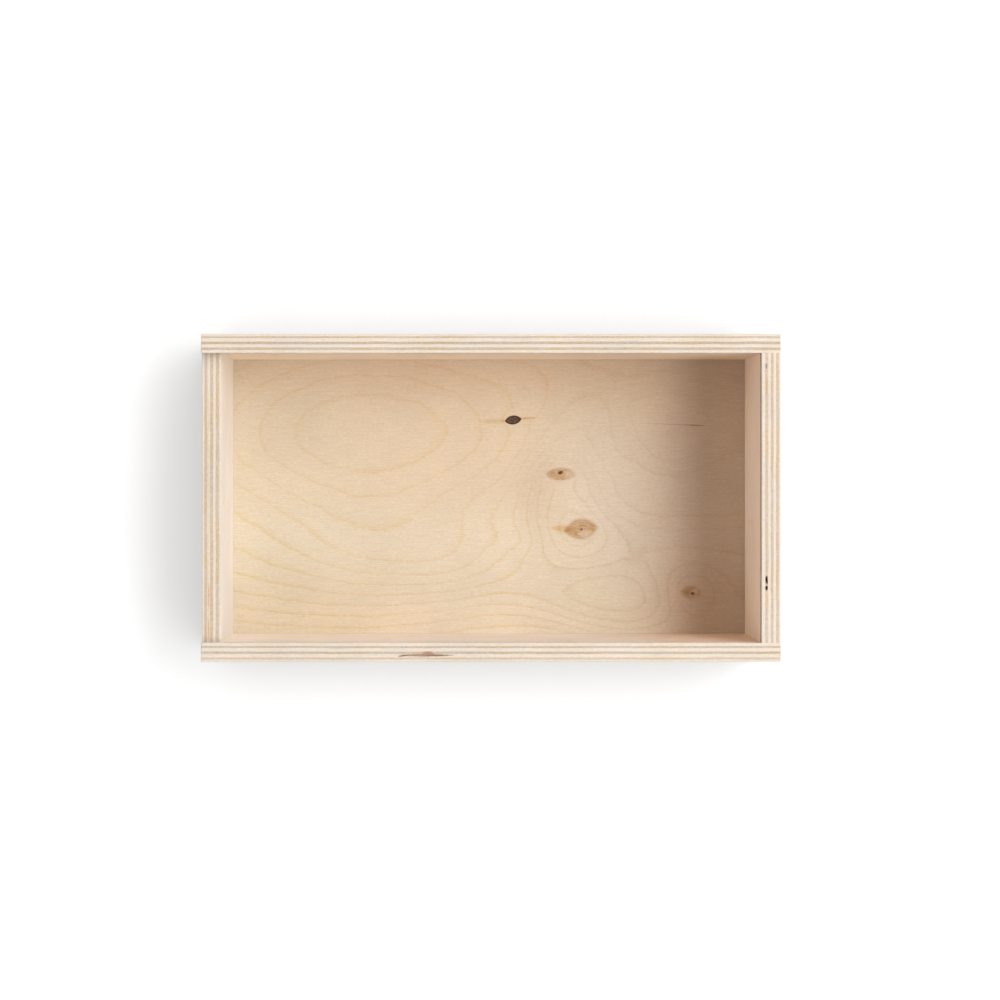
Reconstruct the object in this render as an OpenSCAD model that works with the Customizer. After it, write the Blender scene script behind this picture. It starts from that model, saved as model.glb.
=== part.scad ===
// Open plywood wine box for two bottles, with grooves for a slide-in lid.
// The two side boards run the full length and the end boards butt between
// them. The floor panel sits in a groove in all four boards, and brads
// through the sides hold the ends. One end is cut low, so that a lid can
// slide in over it, under the lips of the sides and of the other end.
//
// Millimetres. X runs along the box, from the lid end to the stop end,
// Y from the front to the rear, and Z up. The origin is at the middle of
// the footprint, on the surface that the box stands on.

/* [Box] */
// Outside length, along the side boards
box_length = 364; // [300:1:480]
// Outside width, across the side boards
box_width = 206; // [150:1:300]
// Height of the side boards and of the stop end
box_height = 110; // [90:1:180]

/* [Boards] */
// Thickness of the rear and the front side board
side_t = 12; // [9:0.5:18]
// Thickness of the two end boards
end_t = 12; // [9:0.5:18]
// Chamfer that eases the long edges of each board
edge_ease = 0.4; // [0.2:0.1:1]

/* [Floor] */
// Thickness of the floor panel
floor_t = 4; // [3:0.5:6]
// Height of the floor panel's underside above the foot of the boards
floor_lift = 6; // [4:0.5:10]
// Depth of the groove that holds the floor panel
floor_groove_depth = 6; // [3:0.5:6.5]
// Gap between the edge of the floor panel and the bottom of its groove
floor_edge_gap = 0.3; // [0.1:0.1:0.6]
// Gap above the floor panel in its groove
floor_top_gap = 0.2; // [0.1:0.1:0.5]

/* [Lid groove] */
// Thickness of the lip above the lid groove
lid_lip = 2.5; // [2:0.5:5]
// Height of the lid groove: a 4 mm lid and its running clearance
lid_groove_h = 4.5; // [4.2:0.1:6]
// Depth of the lid groove
lid_groove_depth = 6; // [3:0.5:6.5]

/* [Brads] */
// Diameter of a brad's shank
brad_d = 1.4; // [1.2:0.1:1.8]
// Length of a brad, from the top of its head to its tip
brad_length = 30; // [26:1:40]
// Diameter of a brad's head
brad_head_d = 2.4; // [2.2:0.1:3]
// Thickness of a brad's head
brad_head_t = 0.8; // [0.5:0.1:1.2]
// Length of a brad's tapered tip
brad_tip = 2; // [1:0.5:3]
// Depth of a brad's head below the face of the board
brad_set = 0.4; // [0.2:0.1:1]
// Radial gap round a brad
brad_gap = 0.05; // [0.02:0.01:0.1]
// Gap between a brad's tip and the end of its hole
brad_end_gap = 0.3; // [0.1:0.1:0.8]
// Distance from the top of the floor groove up to the lowest brad
brad_above_floor = 12; // [6:1:20]
// Distance from the lid groove down to the highest brad
brad_below_lid = 14; // [6:1:20]

/* [Hidden] */
$fn = 48;
cut = 1;             // how far a cut runs past the face that it opens
blunt = 0.3;         // share of the shank's radius that a brad's tip keeps

inner_length = box_length - 2 * end_t;
inner_width = box_width - 2 * side_t;
floor_groove_h = floor_t + floor_top_gap;
floor_groove_top = floor_lift + floor_groove_h;
lid_groove_z = box_height - lid_lip - lid_groove_h;
brad_x = box_length / 2 - end_t / 2;
brad_low_z = floor_groove_top + brad_above_floor;
brad_high_z = lid_groove_z - brad_below_lid;

WALLS = ["rear", "front"];
ENDS = ["stop", "lid"];
LEVELS = ["low", "mid", "high"];
BRADS = [for (wall = WALLS, end = ENDS, level = LEVELS) [wall, end, level]];

function brad_name(b) = str("brad_", b[0], "_", b[1], "_", b[2]);
function wall_sign(wall) = wall == "rear" ? 1 : -1;
function end_sign(end) = end == "stop" ? 1 : -1;
function level_z(level) =
    level == "low" ? brad_low_z :
    level == "high" ? brad_high_z :
    (brad_low_z + brad_high_z) / 2;

// ---- boards ----

// Cross-section of a board, from its inner face at 0 outwards, standing on 0
module board_section(thickness, height) {
    polygon([
        [edge_ease, 0],
        [thickness - edge_ease, 0],
        [thickness, edge_ease],
        [thickness, height - edge_ease],
        [thickness - edge_ease, height],
        [edge_ease, height],
        [0, height - edge_ease],
        [0, edge_ease]
    ]);
}

// Board along X, with its inner face at y = 0 and its outer face towards +Y
module board_along_x(length, thickness, height) {
    rotate([90, 0, 90])
        linear_extrude(length, center = true)
            board_section(thickness, height);
}

// Board along Y, with its inner face at x = 0 and its outer face towards +X
module board_along_y(length, thickness, height) {
    rotate([90, 0, 0])
        linear_extrude(length, center = true)
            board_section(thickness, height);
}

// Groove along X in the inner face of a side board, from x0 to x1
module side_groove(x0, x1, z, height, depth) {
    translate([x0, -cut, z])
        cube([x1 - x0, depth + cut, height]);
}

// Groove along the whole of an end board's inner face
module end_groove(z, height, depth) {
    translate([-cut, -inner_width / 2 - cut, z])
        cube([depth + cut, inner_width + 2 * cut, height]);
}

// Rear side board in its own place, with its inner face at y = 0
module side_board() {
    floor_reach = inner_length / 2 + floor_groove_depth;
    lid_reach = inner_length / 2 + lid_groove_depth;
    difference() {
        board_along_x(box_length, side_t, box_height);
        side_groove(-floor_reach, floor_reach, floor_lift, floor_groove_h, floor_groove_depth);
        side_groove(-box_length / 2 - cut, lid_reach, lid_groove_z, lid_groove_h, lid_groove_depth);
    }
}

module rear_side() {
    color("burlywood")
        difference() {
            translate([0, inner_width / 2, 0]) side_board();
            brad_holes("rear");
        }
}

module front_side() {
    color("burlywood")
        difference() {
            mirror([0, 1, 0]) translate([0, inner_width / 2, 0]) side_board();
            brad_holes("front");
        }
}

// Full-height end, with the groove that the lid's far edge slides into
module stop_end() {
    color("wheat")
        difference() {
            translate([inner_length / 2, 0, 0])
                difference() {
                    board_along_y(inner_width, end_t, box_height);
                    end_groove(floor_lift, floor_groove_h, floor_groove_depth);
                    end_groove(lid_groove_z, lid_groove_h, lid_groove_depth);
                }
            brad_holes("rear");
            brad_holes("front");
        }
}

// Low end, level with the bottom of the lid groove
module lid_end() {
    color("wheat")
        difference() {
            mirror([1, 0, 0])
                translate([inner_length / 2, 0, 0])
                    difference() {
                        board_along_y(inner_width, end_t, lid_groove_z);
                        end_groove(floor_lift, floor_groove_h, floor_groove_depth);
                    }
            brad_holes("rear");
            brad_holes("front");
        }
}

// Floor panel, resting on the lower face of the groove all round
module floor_panel() {
    tongue = floor_groove_depth - floor_edge_gap;
    length = inner_length + 2 * tongue;
    width = inner_width + 2 * tongue;
    color("moccasin")
        translate([-length / 2, -width / 2, floor_lift])
            cube([length, width, floor_t]);
}

// ---- brads ----

// Puts a brad or its hole on the outer face of a side board, pointing inwards
module at_brad(b) {
    translate([end_sign(b[1]) * brad_x, wall_sign(b[0]) * box_width / 2, level_z(b[2])])
        rotate([-90 * wall_sign(b[0]), 0, 0])
            children();
}

// Brad with its head up, driven down from the face of the board at z = 0
module brad() {
    top = -brad_set;
    tip = top - brad_length;
    shank_r = brad_d / 2;
    rotate_extrude()
        polygon([
            [0, top],
            [brad_head_d / 2, top],
            [brad_head_d / 2, top - brad_head_t],
            [shank_r, top - brad_head_t],
            [shank_r, tip + brad_tip],
            [shank_r * blunt, tip],
            [0, tip]
        ]);
}

// Hole of a brad, with the recess that its head seats in
module brad_hole() {
    bottom = -brad_set - brad_length - brad_end_gap;
    seat = -brad_set - brad_head_t;
    shank_r = brad_d / 2 + brad_gap;
    head_r = brad_head_d / 2 + brad_gap;
    rotate_extrude()
        polygon([
            [0, cut],
            [head_r, cut],
            [head_r, seat],
            [shank_r, seat],
            [shank_r, bottom],
            [0, bottom]
        ]);
}

module brad_holes(wall) {
    for (b = BRADS)
        if (b[0] == wall) at_brad(b) brad_hole();
}

module placed_brad(b) {
    color("silver") at_brad(b) brad();
}

rear_side();
front_side();
stop_end();
lid_end();
floor_panel();
for (b = BRADS)
    placed_brad(b);
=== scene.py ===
"""Open plywood wine box: its boards, floor panel and brads as they look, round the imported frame."""

import math

import bmesh
import bpy
from bpy.props import FloatProperty, FloatVectorProperty, PointerProperty
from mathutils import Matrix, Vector


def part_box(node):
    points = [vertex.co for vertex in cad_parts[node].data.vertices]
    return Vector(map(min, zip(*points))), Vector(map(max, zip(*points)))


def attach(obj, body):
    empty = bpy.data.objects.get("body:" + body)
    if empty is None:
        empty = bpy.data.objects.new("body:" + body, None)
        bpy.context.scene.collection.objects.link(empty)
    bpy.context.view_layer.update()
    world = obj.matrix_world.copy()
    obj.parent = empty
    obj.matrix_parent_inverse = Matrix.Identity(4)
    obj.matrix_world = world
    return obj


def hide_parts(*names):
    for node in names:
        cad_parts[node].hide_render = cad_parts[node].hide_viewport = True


bl_info = {
    "name": "Plywood Wine Box",
    "version": (1, 0, 0),
    "blender": (4, 5, 0),
    "location": "3D View > Sidebar > Wine Box",
    "description": "Models the boards, the floor panel and the stage of an open plywood wine box",
    "category": "Object",
}

MM = 0.001
# How far a cutter runs past the face that it opens
PAST_FACE = 1.0 * MM
# Half width of the blur between two plies, and how far a glue line reaches, in mm
PLY_BLUR = 0.10
GLUE_REACH = 0.16
# Range that a noise texture mostly keeps to
USUAL_NOISE = (0.3, 0.7)
BRAD_NODES = [
    f"brad_{wall}_{end}_{level}"
    for wall in ("rear", "front")
    for end in ("stop", "lid")
    for level in ("low", "mid", "high")
]

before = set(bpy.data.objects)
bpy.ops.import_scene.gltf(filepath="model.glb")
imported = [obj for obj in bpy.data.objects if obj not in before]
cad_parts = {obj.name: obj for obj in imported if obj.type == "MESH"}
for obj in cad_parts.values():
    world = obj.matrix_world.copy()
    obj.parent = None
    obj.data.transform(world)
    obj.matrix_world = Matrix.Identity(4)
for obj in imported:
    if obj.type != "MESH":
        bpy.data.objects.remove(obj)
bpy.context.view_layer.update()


# ---- sizes read from the frame ----


def corners(node):
    """Lowest and highest corner of a CAD node, as vectors in metres."""
    low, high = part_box(node)
    return Vector(low), Vector(high)


REAR_LOW, REAR_HIGH = corners("rear_side")
STOP_LOW, STOP_HIGH = corners("stop_end")
LID_LOW, LID_HIGH = corners("lid_end")
FLOOR_LOW, FLOOR_HIGH = corners("floor_panel")
HALF_LENGTH = REAR_HIGH.x
HALF_WIDTH = REAR_HIGH.y
RIM = REAR_HIGH.z
LOW_RIM = LID_HIGH.z
INNER_X = STOP_LOW.x
INNER_Y = REAR_LOW.y

# Growth of the floor's face veneer, in mm and growth rings: the level of the tree's rings falls
# from the rear of the panel to the front, and swells and knots raise or sink it
REAR_LEVEL = -4.9
LEVEL_FALL = 11.5
FALL_FROM = 44.0
FALL_LENGTH = 222.0
SWELLS = (
    # x, y, reach along x, reach along y, height, sharpness
    (-79, 42, 100, 53, 4.6, 1.3),  # broad hill at the lid end
    (-106, -56, 135, 54, 2.7, 1.3),  # shoulder in the front corner
    (-70, -40, 58, 30, 2.0, 1.0),  # tongue in front of the hill
    (-74, -6, 45, 20, 0.3, 1.0),  # its root
    (-18, -40, 36, 27, 1.4, 1.2),  # shoulder beside the knots
    (25, 82, 36, 28, 0.55, 1.2),  # behind the dead knot
    (16, 51, 12, 5, -0.5, 0.8),  # round the dead knot
    (61, 50, 19, 20, -0.8, 1.0),  # nose behind the small knot
    (108, 100, 90, 15, -0.6, 1.0),  # along the rear edge
    (121, 45, 29, 27, 1.9, 1.5),  # small hill at the stop end
    (97, 61, 12, 8, 0.45, 1.0),  # its corner
    (101, 34, 10, 14, -0.35, 1.0),  # its flattened side
    (135, -5, 55, 16, 0.8, 2.0),  # terrace in front of it
    (48, 8, 26, 34, -3.4, 1.2),  # hollow of the two knots
    (48, 15, 12, 9, -1.2, 1.0),  # round the small knot
    (62, -24, 22, 17, -2.4, 1.0),  # round the eye knot
    (18, -28, 16, 9, 0.7, 1.0),  # kink at the eye knot's tail
    (34, -64, 30, 18, 1.2, 1.0),  # neck of the loop
    (82, -71, 40, 23, 3.4, 1.3),  # loop in front of the knots
    (150, -92, 62, 42, 3.0, 1.0),  # front corner of the stop end
    (135, -64, 19, 17, -3.0, 0.8),  # round the pin knot
)

# Knots and marks of the same veneer, in mm: x, y, half length, half width, slope in degrees, and
# how pointed their ends are
DEAD_KNOT = (16.0, 50.9, 5.5, 2.9, 8, 0.5)
LIVE_KNOTS = (
    # the knot, its pale side, its heart, and how strongly the knot and its heart show
    (
        (47.7, 14.9, 10.8, 4.6, 0, 0.30), (54.5, 15.2, 5.2, 3.0, 0, 0.2),
        (47.4, 15.9, 2.1, 1.3, 25, 0.3), 0.95, 0.95,
    ),
    (
        (61.2, -21.6, 12.2, 7.6, 7, 0.75), (63.8, -24.6, 5.0, 2.8, 10, 0.2),
        (61.4, -21.8, 1.0, 0.8, 0, 0.0), 1.0, 0.75,
    ),
    (
        (134.0, -63.7, 7.4, 4.6, -4, 0.1), (137.5, -62.5, 2.5, 2.0, 0, 0.0),
        (135.3, -64.5, 1.4, 1.1, 0, 0.0), 0.62, 0.9,
    ),
)
KNOT_TAILS = (
    # the tail, and how strongly it shows
    ((3.0, 49.9, 11.0, 2.4, 1, 0.6), 0.45),
    ((10.0, 50.3, 3.5, 1.5, 2, 0.6), 0.55),
    ((24.5, 52.0, 9.0, 1.1, 4, 1.0), 0.95),
    ((49.0, -21.4, 10.0, 3.8, -5, 0.8), 0.75),
    ((131.2, -63.4, 4.6, 2.2, -10, 0.5), 0.60),
)
CRACKS = (
    # the split, and how strongly it shows
    ((124.0, 47.9, 30.0, 0.42, -2.0, 1.0), 0.35),
    ((137.0, 47.4, 8.0, 0.50, -2.2, 1.0), 0.70),
)
STAINS_AND_PAINTED_LIGHT = (
    # a patch, and the veneer's colour in it against the rest; the last is painted light along the front
    # edge
    ((88, -20, 20, 38, 0, 0.0), (0.965, 0.97, 0.985)),
    ((137, -62, 24, 20, 0, 0.0), (0.95, 0.92, 0.90)),
    ((33, -3, 14, 27, 0, 0.0), (0.955, 0.94, 0.925)),
    ((74, 20, 34, 34, 0, 0.0), (1.015, 1.04, 1.10)),
    # painted light: a brighter strip along the floor's front edge
    ((-55, -86, 150, 17, 0, 0.0), (1.04, 1.04, 1.035)),
)
FLOOR_TINTS_AND_PAINTED_SHADE = (
    # a colour setting, and how it fades along x and along y: start, end, and the amount at each; the rear
    # side, rear edge and stop side are painted shade
    ("honey", (-120.0, -20.0, 1.0, 0.0), (-85.0, 5.0, 1.0, 0.0)),
    # painted shade: the rear half of the floor darker and warmer
    ("rear_side", (90.0, 130.0, 1.0, 0.0), (-35.0, 10.0, 0.0, 1.0)),
    # painted shade along the rear board
    ("rear_edge_painted_shade", (90.0, 130.0, 1.0, 0.0), (55.0, 85.0, 0.0, 1.0)),
    ("lid_side", (-150.0, -40.0, 1.0, 0.0), None),
    # painted shade where the stop board shades the floor
    ("stop_end_painted_shade", (85.0, 140.0, 0.0, 1.0), None),
)

# Plies of each board, in mm: depth of the first cross ply's middle, distance to the next, and the
# widths and the paleness of the inner, the middle and the outer cross ply
PLIES = {
    "rear_board": (2.65, 3.63, (1.6, 1.6, 1.1), (1.06, 1.00, 1.08)),
    "front_board": (2.65, 3.60, (1.25, 1.40, 1.25), (1.06, 1.03, 1.16)),
    "stop_board": (3.15, 3.43, (1.85, 1.65, 1.75), (1.14, 1.10, 1.12)),
    "lid_board": (2.35, 3.67, (2.1, 1.9, 1.8), (1.11, 1.09, 1.09)),
}
# Colour of each board's inner face against the common face veneer: partly each board's own veneer tone,
# partly painted light, as the faces that turn away from the lamps are brightened
FACE_TINTS_AND_PAINTED_LIGHT = {
    "rear_board": (1.07, 1.01, 0.96),
    "front_board": (1.11, 1.12, 1.18),
    "stop_board": (1.12, 1.065, 1.06),
    "lid_board": (0.92, 0.98, 1.08),
}
# Painted shade that each board's inner face takes on towards its stop end or rear end
FAR_END_PAINTED_SHADE = {
    "rear_board": (1.0, 0.98, 0.96),
    "front_board": (0.94, 0.80, 0.70),
    "stop_board": (0.97, 0.97, 0.97),
    "lid_board": (1.0, 0.98, 0.95),
}
# Marks on the top edges of the boards, given like the knots, each with its colour and strength; the dark
# marks in the stop board's hollows and its long brown line are painted shade
EDGE_MARKS = {
    "rear_board": (
        ((126.0, 96.8, 9.0, 0.7, 0, 0.8), "streak", 0.5),
    ),
    "front_board": (
        ((-41.0, -98.8, 19.0, 1.1, 0, 0.9), "knot_brown_and_groove_shade", 0.95),
        ((-39.5, -97.7, 4.2, 1.7, 0, 0.5), "knot_brown_and_groove_shade", 0.85),
        ((-55.0, -99.1, 4.0, 0.6, 10, 1.0), "dark_bark_and_hollow_shade", 0.75),
        ((-33.0, -98.8, 11.0, 0.45, 0, 1.0), "dark_bark_and_hollow_shade", 0.6),
    ),
    "stop_board": (
        ((172.9, 82.8, 0.7, 2.1, 0, 0.1), "dark_bark_and_hollow_shade", 0.6),
        ((173.1, 69.5, 0.8, 8.0, 0, 0.2), "streak", 0.85),
        # painted shade: a faint dark line along the stop board's inner top edge, over its lid groove
        ((170.1, 0.0, 0.45, 90.0, 0, 0.0), "knot_brown_and_groove_shade", 0.35),
        ((173.1, -43.5, 0.8, 5.0, 0, 0.2), "streak", 0.6),
        # painted shade: near black in the hollows cut into the stop board's top edge
        ((173.1, -51.6, 1.0, 3.1, 0, 0.0), "dark_bark_and_hollow_shade", 1.0),
        ((173.1, -56.5, 1.0, 1.9, 0, 0.0), "dark_bark_and_hollow_shade", 1.0),
    ),
    "lid_board": (
        ((-177.9, 0.0, 0.9, 120.0, 0, 0.0), "streak", 0.22),
        ((-177.9, -62.0, 0.6, 10.0, 0, 0.3), "streak", 0.75),
        ((-177.9, -83.0, 0.6, 9.0, 0, 0.3), "streak", 0.85),
    ),
}
# Hollows where the stop board's inner cross ply is missing, in mm: x, y, and reach along x, y and z
VOIDS = (
    (172.9, -50.7, 0.55, 1.4, 2.0),
    (173.4, -52.6, 0.55, 1.5, 1.8),
    (173.1, -56.5, 0.70, 1.3, 1.9),
)


# ---- settings ----


def length(name, description, default, low, high):
    """Length setting, given in millimetres."""
    return FloatProperty(
        name=name, description=description, default=default * MM, min=low * MM, max=high * MM,
        unit="LENGTH",
    )


class WineBoxSizes(bpy.types.PropertyGroup):
    """Sizes of the small work on the boards, in the frame's own scale."""

    arris: length("Arris", "Width of the rounding on the boards' edges", 0.4, 0.1, 1.0)
    panel_arris: length("Panel arris", "Width of the rounding on the floor panel's edges", 0.2, 0.1, 0.5)
    floor_edge_gap: length("Floor edge gap", "Gap from the panel to its groove's bottom", 0.3, 0.1, 0.6)
    floor_top_gap: length("Floor top gap", "Gap above the panel in its groove", 0.2, 0.1, 0.5)
    lid_groove_height: length("Lid groove height", "Height of the lid's groove", 4.5, 4.2, 6.0)
    lid_groove_depth: length("Lid groove depth", "Depth of the lid's groove", 6.0, 3.0, 6.5)
    brad_gap: length("Brad gap", "Radial gap round a brad in its hole", 0.05, 0.02, 0.1)
    brad_end_gap: length("Brad end gap", "Gap from a brad's tip to the end of its hole", 0.3, 0.1, 0.8)
    brad_shank: length("Brad shank", "Diameter of a brad's shank", 1.4, 1.2, 1.8)
    brad_head: length("Brad head", "Thickness of a brad's head", 0.8, 0.5, 1.2)


def colour(name, description, default):
    """Colour setting in linear values."""
    return FloatVectorProperty(
        name=name, description=description, default=default,
        size=3, min=0.0, max=1.0, subtype="COLOR",
    )


class WineBoxColours(bpy.types.PropertyGroup):
    """Colours of bare birch plywood; a tint is what the veneer keeps of its colour."""

    long_grain: colour("Long grain", "Edge cut along its fibres", (0.755, 0.66, 0.556))
    end_grain: colour("End grain", "Edge cut across its fibres, where it is warm", (0.567, 0.42, 0.279))
    grey_grain: colour("Grey grain", "Edge cut across its fibres, where it is grey", (0.543, 0.449, 0.359))
    glue: colour("Glue line", "Thin line between two plies", (0.40, 0.30, 0.21))
    streak: colour("Streak", "Orange streak in a ply", (0.61, 0.415, 0.21))
    # Brown wood round knots, and painted shade along the stop board's lid groove
    knot_brown_and_groove_shade: colour("Brown wood", "Wood round a knot that the edge cuts through", (0.38, 0.235, 0.15))
    # Bark in a ply, and painted shade in the stop board's hollows
    dark_bark_and_hollow_shade: colour("Dark wood", "Bark and hollows in a ply", (0.12, 0.08, 0.055))
    face: colour("Inner face", "Inner faces of the side and end boards", (0.85, 0.744, 0.626))
    outer_face: colour("Outer face", "Outer faces of the side and end boards", (0.87, 0.74, 0.605))
    floor: colour("Floor veneer", "Face of the floor panel", (0.735, 0.632, 0.494))
    # Painted shade on the floor's rear half, darker and warmer
    rear_side: colour("Rear side", "Tint towards the rear", (0.98, 0.935, 0.885))
    # Painted shade along the floor's rear edge
    rear_edge_painted_shade: colour("Rear edge", "Tint along the rear edge", (1.0, 0.955, 0.945))
    lid_side: colour("Lid side", "Tint towards the lid end", (0.895, 0.93, 0.95))
    # Painted shade on the floor next to the stop board
    stop_end_painted_shade: colour("Stop side", "Tint towards the stop end", (0.96, 0.885, 0.88))
    ring: colour("Growth ring", "Tint of the late wood", (0.95, 0.86, 0.67))
    old_ring: colour("Old growth ring", "Tint of the late wood round the knots", (0.93, 0.865, 0.80))
    fleck: colour("Fleck", "Tint of the fine flecks", (0.89, 0.855, 0.81))
    honey: colour("Honey wood", "Tint in the front corner", (1.0, 0.965, 0.91))
    knot_bark: colour("Bark", "Rim of a dead knot", (0.060, 0.026, 0.014))
    knot_dead: colour("Dead knot", "Middle of a dead knot", (0.145, 0.085, 0.058))
    amber: colour("Amber", "Tint of a live knot", (0.655, 0.435, 0.225))
    tail: colour("Knot tail", "Tint of the wood behind a knot", (0.84, 0.66, 0.42))
    crack: colour("Split", "Tint of a fine split", (0.55, 0.44, 0.345))
    knot_heart: colour("Knot heart", "Small dark middle of a live knot", (0.09, 0.030, 0.012))
    steel: colour("Steel", "Bright wire of the brads", (0.60, 0.60, 0.60))


def angles(name, description, degrees):
    """Setting of four angles off the vertical, for the edges of a lamp."""
    return FloatVectorProperty(
        name=name, description=f"Edges of the {description}: low x, high x, low y and high y",
        default=[math.radians(value) for value in degrees], size=4, unit="ROTATION",
    )


def brightness(name, description, default):
    """Setting for the strength of a light."""
    return FloatProperty(name=name, description=description, default=default, min=0.0)


class WineBoxStudio(bpy.types.PropertyGroup):
    """Camera, lamps, room and ground of the stage."""

    camera_x: FloatProperty(
        name="Camera X", description="Place of the lens along the box", default=-19.9 * MM, unit="LENGTH",
    )
    camera_y: FloatProperty(
        name="Camera Y", description="Place of the lens across the box", default=15.0 * MM, unit="LENGTH",
    )
    camera_rise: FloatProperty(
        name="Camera rise", description="Height of the lens above the rim",
        default=1.686, min=0.5, unit="LENGTH",
    )
    focal_length: FloatProperty(
        name="Focal length", description="Focal length on a 36 mm wide sensor",
        default=96.68, min=20.0, unit="CAMERA",
    )
    shift_x: FloatProperty(
        name="Shift X", description="Sideways shift of the lens, in sensor widths", default=0.0408,
    )
    shift_y: FloatProperty(
        name="Shift Y", description="Upward shift of the lens, in sensor widths", default=-0.026,
    )
    lamp_height: FloatProperty(
        name="Lamp height", description="Height of the lamps above the ground", default=8.0, unit="LENGTH",
    )
    core_reach: angles("Core reach", "bright lamp", (22, 36, 0, 22))
    core_strength: brightness("Core strength", "Radiance of the bright lamp", 9.3)
    wide_reach: angles("Wide reach", "wide, weak lamp", (16, 58, -45, 58))
    wide_strength: brightness("Wide strength", "Radiance of the wide, weak lamp", 3.11)
    fill_reach: angles("Fill reach", "lid end's lamp", (-75, -62, -30, 30))
    fill_strength: brightness("Fill strength", "Radiance of the lid end's lamp", 4.6)
    room_level: brightness("Room level", "Brightness of the room all round", 0.102)
    room_glow: brightness("Room glow", "Added brightness at the lid end and both sides", 0.214)
    ground_glow: brightness("Ground glow", "Light that the camera sees the ground add", 0.69)


def sizes():
    return bpy.context.scene.wine_box_sizes


def colours():
    return bpy.context.scene.wine_box_colours


def studio():
    return bpy.context.scene.wine_box_studio


# ---- mesh tools ----


def deselect_all():
    if bpy.context.mode != "OBJECT":
        bpy.ops.object.mode_set(mode="OBJECT")
    bpy.ops.object.select_all(action="DESELECT")


def activate(piece):
    """Makes a piece the only selected and the active one."""
    deselect_all()
    piece.select_set(True)
    bpy.context.view_layer.objects.active = piece


def settle(piece, name):
    """Names a new piece and puts its place into its mesh."""
    piece.name = name
    piece.data.name = name
    activate(piece)
    bpy.ops.object.transform_apply(location=True, rotation=True, scale=True)
    return piece


def add_block(name, low, high):
    """Cube primitive from one corner to the other."""
    deselect_all()
    low, high = Vector(low), Vector(high)
    bpy.ops.mesh.primitive_cube_add(size=1.0, location=(low + high) / 2)
    block = bpy.context.object
    block.scale = high - low
    return settle(block, name)


def add_rod(name, start, end, radius):
    """Cylinder primitive from one point to another, along any axis."""
    deselect_all()
    start, end = Vector(start), Vector(end)
    run = end - start
    bpy.ops.mesh.primitive_cylinder_add(
        vertices=24, radius=radius, depth=run.length, location=(start + end) / 2,
        rotation=run.to_track_quat("Z", "Y").to_euler(),
    )
    return settle(bpy.context.object, name)


def add_pebble(name, centre, radii):
    """Icosphere primitive drawn out to three radii."""
    deselect_all()
    bpy.ops.mesh.primitive_ico_sphere_add(subdivisions=2, radius=1.0, location=centre)
    pebble = bpy.context.object
    pebble.scale = radii
    return settle(pebble, name)


def edit(piece):
    """Opens a piece's edges in edit mode with nothing selected."""
    activate(piece)
    bpy.ops.object.mode_set(mode="EDIT")
    bpy.ops.mesh.select_mode(type="EDGE")
    bpy.ops.mesh.select_all(action="DESELECT")
    return bmesh.from_edit_mesh(piece.data)


def close(piece):
    """Leaves edit mode."""
    bpy.ops.object.mode_set(mode="OBJECT")
    return piece


def slice_at(piece, point, normal):
    """Cuts new edges round a piece where a plane crosses it."""
    edit(piece)
    bpy.ops.mesh.select_all(action="SELECT")
    bpy.ops.mesh.bisect(plane_co=point, plane_no=normal, use_fill=False)
    return close(piece)


def ease_edges(piece, wanted, width):
    """Rounds the edges whose two ends the test accepts."""
    mesh = edit(piece)
    for edge in mesh.edges:
        if wanted(*(vertex.co for vertex in edge.verts)):
            edge.select_set(True)
    bmesh.update_edit_mesh(piece.data)
    bpy.ops.mesh.bevel(offset=width, segments=3, profile=0.5, affect="EDGES")
    return close(piece)


def cut_away(piece, *cutters):
    """Takes cutters out of a piece and deletes them."""
    for cutter in cutters:
        cut = piece.modifiers.new("cut", "BOOLEAN")
        cut.operation = "DIFFERENCE"
        cut.solver = "EXACT"
        cut.object = cutter
        activate(piece)
        bpy.ops.object.modifier_apply(modifier=cut.name)
        bpy.data.objects.remove(cutter)
    return piece


def near(a, b, tolerance=0.01 * MM):
    return abs(a - b) < tolerance


def finish_piece(piece, material, node):
    """Smooths a piece's roundings and hands it to the frame."""
    activate(piece)
    bpy.ops.object.shade_smooth_by_angle(angle=math.radians(40.0))
    level = piece.modifiers.new("level faces", "WEIGHTED_NORMAL")
    level.keep_sharp = True
    bpy.ops.object.modifier_apply(modifier=level.name)
    piece.data.materials.clear()
    piece.data.materials.append(material)
    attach(piece, "root")
    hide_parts(node)
    return piece


# ---- node tools ----


def wire(tree, socket, value):
    """Links a socket to another node's output, or writes a plain value into it."""
    if isinstance(value, bpy.types.NodeSocket):
        tree.links.new(value, socket)
    else:
        socket.default_value = value


def add_node(tree, kind, wires=(), **settings):
    """New shader node with its settings made and its named inputs wired."""
    node = tree.nodes.new(f"ShaderNode{kind}")
    node.location = (180 * (len(tree.nodes) % 12), -220 * (len(tree.nodes) // 12))
    for key, value in settings.items():
        setattr(node, key, value)
    for name, value in dict(wires).items():
        wire(tree, node.inputs[name], value)
    return node


def calc(tree, operation, *values, clamp=False):
    """Math node on one to three values."""
    node = add_node(tree, "Math", operation=operation, use_clamp=clamp)
    for socket, value in zip(node.inputs, values):
        wire(tree, socket, value)
    return node.outputs[0]


def times(tree, product, *others):
    """Product of two or more values."""
    for other in others:
        product = calc(tree, "MULTIPLY", product, other)
    return product


def times_plus(tree, first, second, added):
    return calc(tree, "MULTIPLY_ADD", first, second, added)


def plus(tree, first, second):
    return calc(tree, "ADD", first, second)


def minus(tree, first, second):
    return calc(tree, "SUBTRACT", first, second)


def size_of(tree, value):
    """A value without its sign."""
    return calc(tree, "ABSOLUTE", value)


def vector_calc(tree, operation, *values, output="Vector"):
    """Vector Math node."""
    node = add_node(tree, "VectorMath", operation=operation)
    for socket, value in zip(node.inputs, values):
        wire(tree, socket, value)
    return node.outputs[output]


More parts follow.
